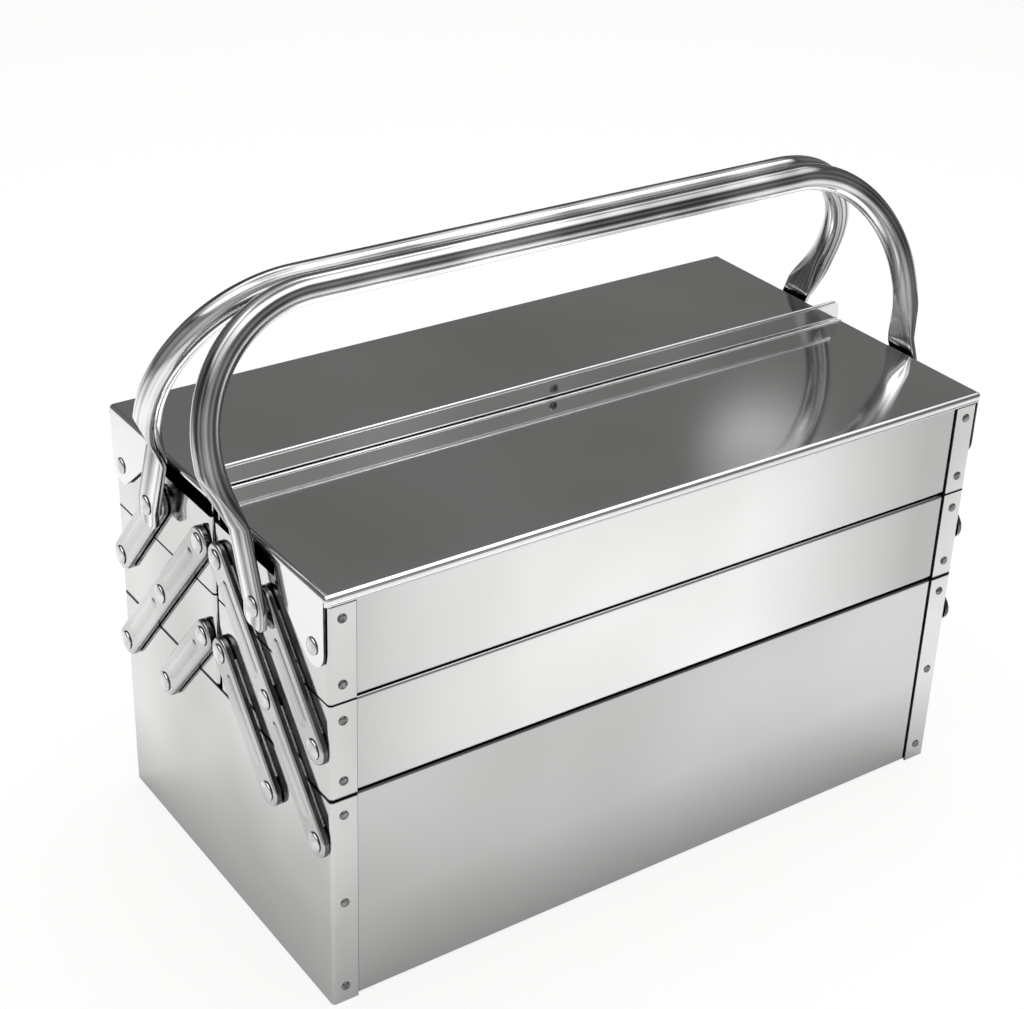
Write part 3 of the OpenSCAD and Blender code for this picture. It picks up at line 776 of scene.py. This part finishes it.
def make_rivets():
    arm_rivet = rivet("arm rivet", PIVOT_D, TAIL_D, TAIL_H, ARM_SEAT - INSIDE_X, PIVOT_HEAD_D, PIVOT_HEAD_H)
    handle_rivet = rivet(
        "handle rivet", PIVOT_D, TAIL_D, TAIL_H, TAB_SEAT - INSIDE_X, PIVOT_HEAD_D, PIVOT_HEAD_H
    )
    ear_rivet = rivet("ear rivet", PIVOT_D, TAIL_D, TAIL_H, EAR_SEAT - INSIDE_X, EAR_HEAD_D, EAR_HEAD_H)
    corner_rivet = rivet(
        "corner rivet", CORNER_D, CORNER_HEAD_D, CORNER_HEAD_H, 2 * SHEET_T, CORNER_HEAD_D, CORNER_HEAD_H
    )
    edge_rivet = rivet(
        "edge rivet", CORNER_D, CORNER_HEAD_D, CORNER_HEAD_H, SHEET_T, CORNER_HEAD_D, CORNER_HEAD_H
    )
    outer, middle, inner = PIVOT_Y
    low, mid, high = PIVOT_Z
    base_pivots = [(outer, low), (middle, low)]
    base_heights = (CORNER_INSET, BASE_H / 2, BASE_H - CORNER_INSET)
    places = [m for side in SIDES.values() for m in end_places(side, base_pivots)]
    rivet_set("base_pivot_rivets", "base", [(arm_rivet, places)])
    places = [m for side in SIDES.values() for m in corner_places(side, base_heights)]
    rivet_set("base_corner_rivets", "base", [(corner_rivet, places)], plain_rivet)
    for half, side in SIDES.items():
        pivots = {
            "middle": [(arm_rivet, end_places(side, [(outer, mid), (middle, mid), (inner, mid)]))],
            "top": [
                (arm_rivet, end_places(side, [(inner, high)])),
                (handle_rivet, end_places(side, [(middle, high)])),
            ],
        }
        heights = {
            "middle": (MID_FLOOR + CORNER_INSET, BASE_H + TRAY_PITCH - CORNER_INSET),
            "top": (TOP_FLOOR + CORNER_INSET, OUTER_RIM - CORNER_INSET),
        }
        for level in pivots:
            body = f"{half}_{level}"
            rivet_set(body + "_pivot_rivets", body, pivots[level])
            rows = [(corner_rivet, corner_places(side, heights[level]))]
            rivet_set(body + "_corner_rivets", body, rows, plain_rivet)
        rivet_set(half + "_lid_rivets", half + "_top", [(ear_rivet, end_places(side, [EAR]))])
    upright = at(0, LID_SPLIT + SHEET_T, LID_TOP + UPRIGHT_RIVET_Z) @ quarter("X")
    rivet_set("upright_rivet", "rear_lid", [(edge_rivet, [upright])], plain_rivet)
    drop(arm_rivet, handle_rivet, ear_rivet, corner_rivet, edge_rivet)


# Arms: channels with round ends and a rib pressed along each step


def make_rib(first, last):
    """A rib pressed out of an arm's face, between the middles of its round ends"""
    radius = (RIB_W**2 / 4 + RIB_H**2) / (2 * RIB_H)
    deselect()
    bpy.ops.mesh.primitive_uv_sphere_add(
        segments=32,
        ring_count=15,
        radius=radius * MM,
        location=(first * MM, 0, (ARM_DEPTH + RIB_H - radius) * MM),
        rotation=(0, math.radians(90), 0),
    )
    rib = settle("rib")
    edit(rib)
    shift_x(lambda p: p.x > first, last - first)
    bpy.ops.mesh.select_all(action="SELECT")
    bpy.ops.mesh.bisect(
        plane_co=(0, 0, (ARM_DEPTH - RIB_SINK) * MM), plane_no=(0, 0, 1), clear_inner=True, use_fill=True
    )
    leave()
    return rib


def make_arm(name, steps, last_rib_gap):
    """An arm along X, from its outer pivot at the origin, with its face up"""
    deselect()
    bpy.ops.mesh.primitive_circle_add(
        vertices=ARM_POINTS, radius=ARM_W / 2 * MM, rotation=(0, 0, math.pi / ARM_POINTS), fill_type="NGON"
    )
    arm = settle(name)
    edit(arm)
    shift_x(lambda p: p.x > 0, steps * ARM_STEP)
    bpy.ops.mesh.select_mode(type="FACE")
    bpy.ops.mesh.select_all(action="SELECT")
    extrude(z=ARM_DEPTH)
    fold(lambda p: p.z > ARM_DEPTH - NEAR, ARM_EDGE_R, segments=4)
    choose("FACE", lambda p: p.z < NEAR)
    bpy.ops.mesh.delete(type="ONLY_FACE")
    leave()
    outward(arm)
    modify(arm, "SOLIDIFY", thickness=ARM_T * MM, offset=-1, use_even_offset=True)
    ribs = []
    for i in range(steps):
        gap = last_rib_gap if i == steps - 1 else RIB_START
        ribs.append(make_rib(i * ARM_STEP + RIB_START + RIB_W / 2, (i + 1) * ARM_STEP - gap - RIB_W / 2))
    return joined([arm] + ribs, name)


def make_arms():
    lean = Matrix.Rotation(math.pi - ARM_LEAN, 4, "X")
    stand = quarter("Z") @ quarter("X")
    kinds = {
        "long": (2, RIB_START, (PIVOT_Y[0], PIVOT_Z[0])),
        "lower": (1, RIB_START, (PIVOT_Y[1], PIVOT_Z[0])),
        "upper": (1, RIB_START_HANDLE, (PIVOT_Y[0], PIVOT_Z[1])),
    }
    for kind, (steps, last_rib_gap, pivot) in kinds.items():
        arm = make_arm(kind + " arm", steps, last_rib_gap)
        for half, side in SIDES.items():
            for end_name, end in ENDS.items():
                node = f"{half}_{kind}_arm_{end_name}"
                piece = placed(arm, "pressed_" + node, mirrored(side, end) @ at(ARM_X, *pivot) @ lean @ stand)
                # Painted shade: the arms' sides take the dark side material
                dress(piece, node, node, plated_arm, side_on, plated_side_shade)
        drop(arm)


# Handles: a tube bent twice, with its ends pressed flat


def smooth_step(share):
    share = min(max(share, 0), 1)
    return share * share * (3 - 2 * share)


def pressed(turn):
    """A point of the flat end's outline, nearly a rectangle, from -1 to 1 each way"""
    reach = 2 / TAB_CORNER
    thick, wide = math.cos(turn), math.sin(turn)
    return math.copysign(abs(thick) ** reach, thick), math.copysign(abs(wide) ** reach, wide)


def press_point(turn, share):
    """A point of the leg as it goes from round, at share 0, to flat, at share 1. The powers make the flat
    come late and the valley narrow, with soft ends."""
    low = LEG_X - TUBE_D / 2 + (TAB_X - LEG_X + TUBE_D / 2) * share
    high = LEG_X + TUBE_D / 2 + (TAB_X + TAB_T - LEG_X - TUBE_D / 2) * share
    half_w = TUBE_D / 2 + (TAB_W - TUBE_D) / 2 * smooth_step(share)
    round_x = min(low + TUBE_D / 2 * (1 + math.cos(turn)), high)
    round_y = half_w * math.sin(turn)
    thick, wide = pressed(turn)
    flat_x = (low + high) / 2 + (high - low) / 2 * thick
    flat = smooth_step(share) ** 1.5
    valley = VALLEY * math.sin(math.pi * share) ** 2 * max(math.cos(turn), 0) ** 6
    return (
        round_x + (flat_x - round_x) * flat - valley,
        round_y + (half_w * wide - round_y) * flat,
        TAB_ABOVE + TAB_BLEND * (1 - share),
    )


def foot_point(turn, down, width_share, thick_share):
    """A point of the flat end below its pivot, where the outline turns upright"""
    thick, wide = pressed(turn)
    across = TAB_W / 2 * wide * width_share
    x = TAB_X + TAB_T / 2 + TAB_T / 2 * thick * thick_share
    if down == 0:
        return (x, across, -across * math.tan(LEG_LEAN / 2))
    return (
        x,
        across * math.cos(LEG_LEAN) - down * math.sin(LEG_LEAN),
        -down * math.cos(LEG_LEAN) - across * math.sin(LEG_LEAN),
    )


def draw_ring(tube, point_at):
    """Draws one more ring from the last: each point keeps the turn that it had on the round tube"""
    extrude(z=-1)
    turn = bmesh.from_edit_mesh(tube.data).verts.layers.float["turn"]
    for point in chosen_points():
        point.co = Vector(point_at(point[turn])) * MM


def make_handle():
    deselect()
    bpy.ops.mesh.primitive_circle_add(
        vertices=48, radius=TUBE_D / 2 * MM, location=(0, 0, LEG_L * MM), rotation=(0, math.radians(90), 0)
    )
    tube = settle("tube")
    edit(tube)
    mesh = bmesh.from_edit_mesh(tube.data)
    turn = mesh.verts.layers.float.new("turn")
    for point in mesh.verts:
        point[turn] = math.atan2(point.co.y, point.co.z - LEG_L * MM)
    bmesh.update_edit_mesh(tube.data)
    bpy.ops.mesh.select_all(action="SELECT")
    extrude(x=LEG_X - BEND_R)
    bpy.ops.mesh.spin(
        steps=30,
        angle=math.radians(-90),
        center=Vector((LEG_X - BEND_R, 0, LEG_L - BEND_R)) * MM,
        axis=(0, 1, 0),
    )
    extrude(z=TAB_ABOVE + TAB_BLEND - LEG_L + BEND_R)
    steps = 16
    for i in range(1, steps + 1):
        draw_ring(tube, lambda turn: press_point(turn, i / steps))
    # Rings of the flat end: how far down each is, and its shares of the width and the thickness
    rings = [(0, 1, 1), (3, 1, 1), (TAB_BELOW - TAB_R, 1, 1)]
    for turn in FOOT_TURNS:
        share = math.radians(turn)
        down = TAB_BELOW - TAB_R * (1 - math.sin(share))
        rings.append((down, 1 - TAB_R * (1 - math.cos(share)) / (TAB_W / 2), 1))
    rings.append((TAB_BELOW, 1 - TAB_R * LAST_CORNER / (TAB_W / 2), LAST_THICK))
    for ring in rings:
        draw_ring(tube, lambda turn: foot_point(turn, *ring))
    bpy.ops.mesh.edge_face_add()
    leave()
    modify(tube, "MIRROR", merge_threshold=NEAR * MM)
    outward(tube)
    tube.data.transform(at(0, PIVOT_Y[1], PIVOT_Z[2]) @ Matrix.Rotation(LEG_LEAN, 4, "X"))
    return tube


def make_handles():
    tube = make_handle()
    for half, side in SIDES.items():
        node = half + "_handle"
        dress(placed(tube, "bent_" + node, mirrored(side)), node, node, polished_tube)
    drop(tube)


# Floor and light

# The floor, in metres, and the shares of its glow: for the camera, whose background it makes white, and for
# mirrors, where a small share keeps the soft shadow of the box
FLOOR_R, WHITE, GLOW, GLOW_IN_MIRRORS = 60, "#fefefd", 0.86, 0.15

# The studio by the height of a direction, from straight ahead to overhead. Lids mirror the grey, far side
# at heights about 0.35 to 0.51, and walls mirror the floor.
STUDIO_AHEAD, STUDIO_OVERHEAD = "#6a6a69", "#50504f"
STUDIO_BETWEEN = ((0.2, "#737372"), (0.53, "#6f6f6e"), (0.62, "#303030"))
# The side behind the camera is pale, with a faint window opposite. Each has a colour, a direction, its share
# where it is strongest, and a span: how much it faces that way, and how far it is from the window's middle.
PALE_SIDE, PALE_WAY, PALE_SHARE, PALE_SPAN = "#d2d2d1", (-0.58, -0.81, 0), 0.7, (0.05, 0.9)
WINDOW, WINDOW_WAY, WINDOW_SHARE, WINDOW_SPAN = "#f4f4f4", (0.607, 0.652, 0.455), 0.55, (0.005, 0.04)

# The soft box, in metres and watts
LAMP_X, LAMP_Y, LAMP_L, LAMP_W, LAMP_ENERGY = 0.15, 0.2, 3.4, 3.0, 122
LAMP_Z, LAMP_Z_IN_MIRRORS = 1.8, 1.78
# How bright it is at its edges, and for mirrors in its middle, as shares, and the distances from its middle
# over which it gets so, as shares of its size
LAMP_EDGE, LAMP_EDGE_SPAN = 0.14, (0.05, 0.6)
MIRROR_MIDDLE, MIRROR_MIDDLE_SPAN = 0.23, (0.12, 0.22)


def make_floor():
    deselect()
    bpy.ops.mesh.primitive_circle_add(vertices=64, radius=FLOOR_R, fill_type="NGON")
    floor = settle("floor")
    material, tree = new_material("matt white floor")
    paint = add_node(tree, "BsdfDiffuse", {"Color": linear("#f8f8f8")})
    glow = add_node(tree, "Emission", {"Color": linear(WHITE), "Strength": 1.0})
    path = add_node(tree, "LightPath").outputs
    in_mirrors = math_of(tree, "ADD", path["Is Glossy Ray"], path["Is Transmission Ray"])
    dimmed = math_of(tree, "MULTIPLY", in_mirrors, GLOW_IN_MIRRORS)
    share = math_of(tree, "MULTIPLY_ADD", path["Is Camera Ray"], GLOW, dimmed)
    mix = add_node(tree, "MixShader", {0: share, 1: paint.outputs[0], 2: glow.outputs[0]})
    add_node(tree, "OutputMaterial", {"Surface": mix.outputs[0]})
    floor.data.materials.append(material)


def make_studio():
    """The world: white to the camera above the floor's far edge, and a studio to everything else"""
    world = bpy.data.worlds.new("studio")
    bpy.context.scene.world = world
    world.use_nodes = True
    tree = world.node_tree
    tree.nodes.clear()
    way = add_node(tree, "TexCoord").outputs["Generated"]
    height = add_node(tree, "SeparateXYZ", {0: way}).outputs["Z"]
    ramp = add_node(tree, "ValToRGB", {0: height})
    stops = ramp.color_ramp.elements
    stops[0].color, stops[1].color = linear(STUDIO_AHEAD), linear(STUDIO_OVERHEAD)
    for position, code in STUDIO_BETWEEN:
        stops.new(position).color = linear(code)
    side = add_node(tree, "VectorMath", {0: way, 1: PALE_WAY}, operation="DOT_PRODUCT").outputs["Value"]
    pale = ranged(tree, side, *PALE_SPAN, 0, PALE_SHARE)
    away = add_node(tree, "VectorMath", {0: way, 1: WINDOW_WAY}, operation="DISTANCE").outputs["Value"]
    window = ranged(tree, away, *WINDOW_SPAN, WINDOW_SHARE, 0, interpolation_type="SMOOTHSTEP")
    camera_ray = add_node(tree, "LightPath").outputs["Is Camera Ray"]
    colour = ramp.outputs["Color"]
    for share, code in ((pale, PALE_SIDE), (window, WINDOW), (camera_ray, WHITE)):
        colour = mixed(tree, share, colour, linear(code))
    sky = add_node(tree, "Background", {"Color": colour, "Strength": 1.0})
    add_node(tree, "OutputWorld", {"Surface": sky.outputs[0]})


def make_soft_box(name, z, in_mirrors):
    """A wide lamp with soft edges over the box. Mirrors get one of their own, with a dim middle, so that
    the lids don't clip to white from above. It hangs a little lower, because a ray that meets two lamps at
    one distance sees only one of them."""
    bpy.ops.object.light_add(type="AREA", location=(LAMP_X, LAMP_Y, z))
    lamp = bpy.context.object
    lamp.name = name
    lamp.visible_diffuse, lamp.visible_glossy = not in_mirrors, in_mirrors
    lamp.data.shape = "RECTANGLE"
    lamp.data.size, lamp.data.size_y = LAMP_L, LAMP_W
    lamp.data.energy = LAMP_ENERGY
    lamp.data.use_nodes = True
    tree = lamp.data.node_tree
    tree.nodes.clear()
    place = add_node(tree, "NewGeometry").outputs["Parametric"]
    out = add_node(tree, "VectorMath", {0: place, 1: (0.5, 0.5, 0)}, operation="DISTANCE").outputs["Value"]
    strength = ranged(tree, out, *LAMP_EDGE_SPAN, 1, LAMP_EDGE, interpolation_type="SMOOTHSTEP")
    if in_mirrors:
        middle = ranged(tree, out, *MIRROR_MIDDLE_SPAN, MIRROR_MIDDLE, 1, interpolation_type="SMOOTHSTEP")
        strength = math_of(tree, "MULTIPLY", strength, middle)
    light = add_node(tree, "Emission", {"Strength": strength})
    add_node(tree, "OutputLight", {"Surface": light.outputs[0]})


def make_stage():
    make_floor()
    make_studio()
    make_soft_box("soft box", LAMP_Z, False)
    make_soft_box("soft box in mirrors", LAMP_Z_IN_MIRRORS, True)
    bpy.context.scene.view_settings.view_transform = "Standard"


# Every piece

make_sheets()
make_lids()
make_rivets()
make_arms()
make_handles()
for name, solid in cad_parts.items():
    if name.endswith("_spacers"):
        solid.data.materials.clear()
        solid.data.materials.append(zinc_spacer)
make_stage()
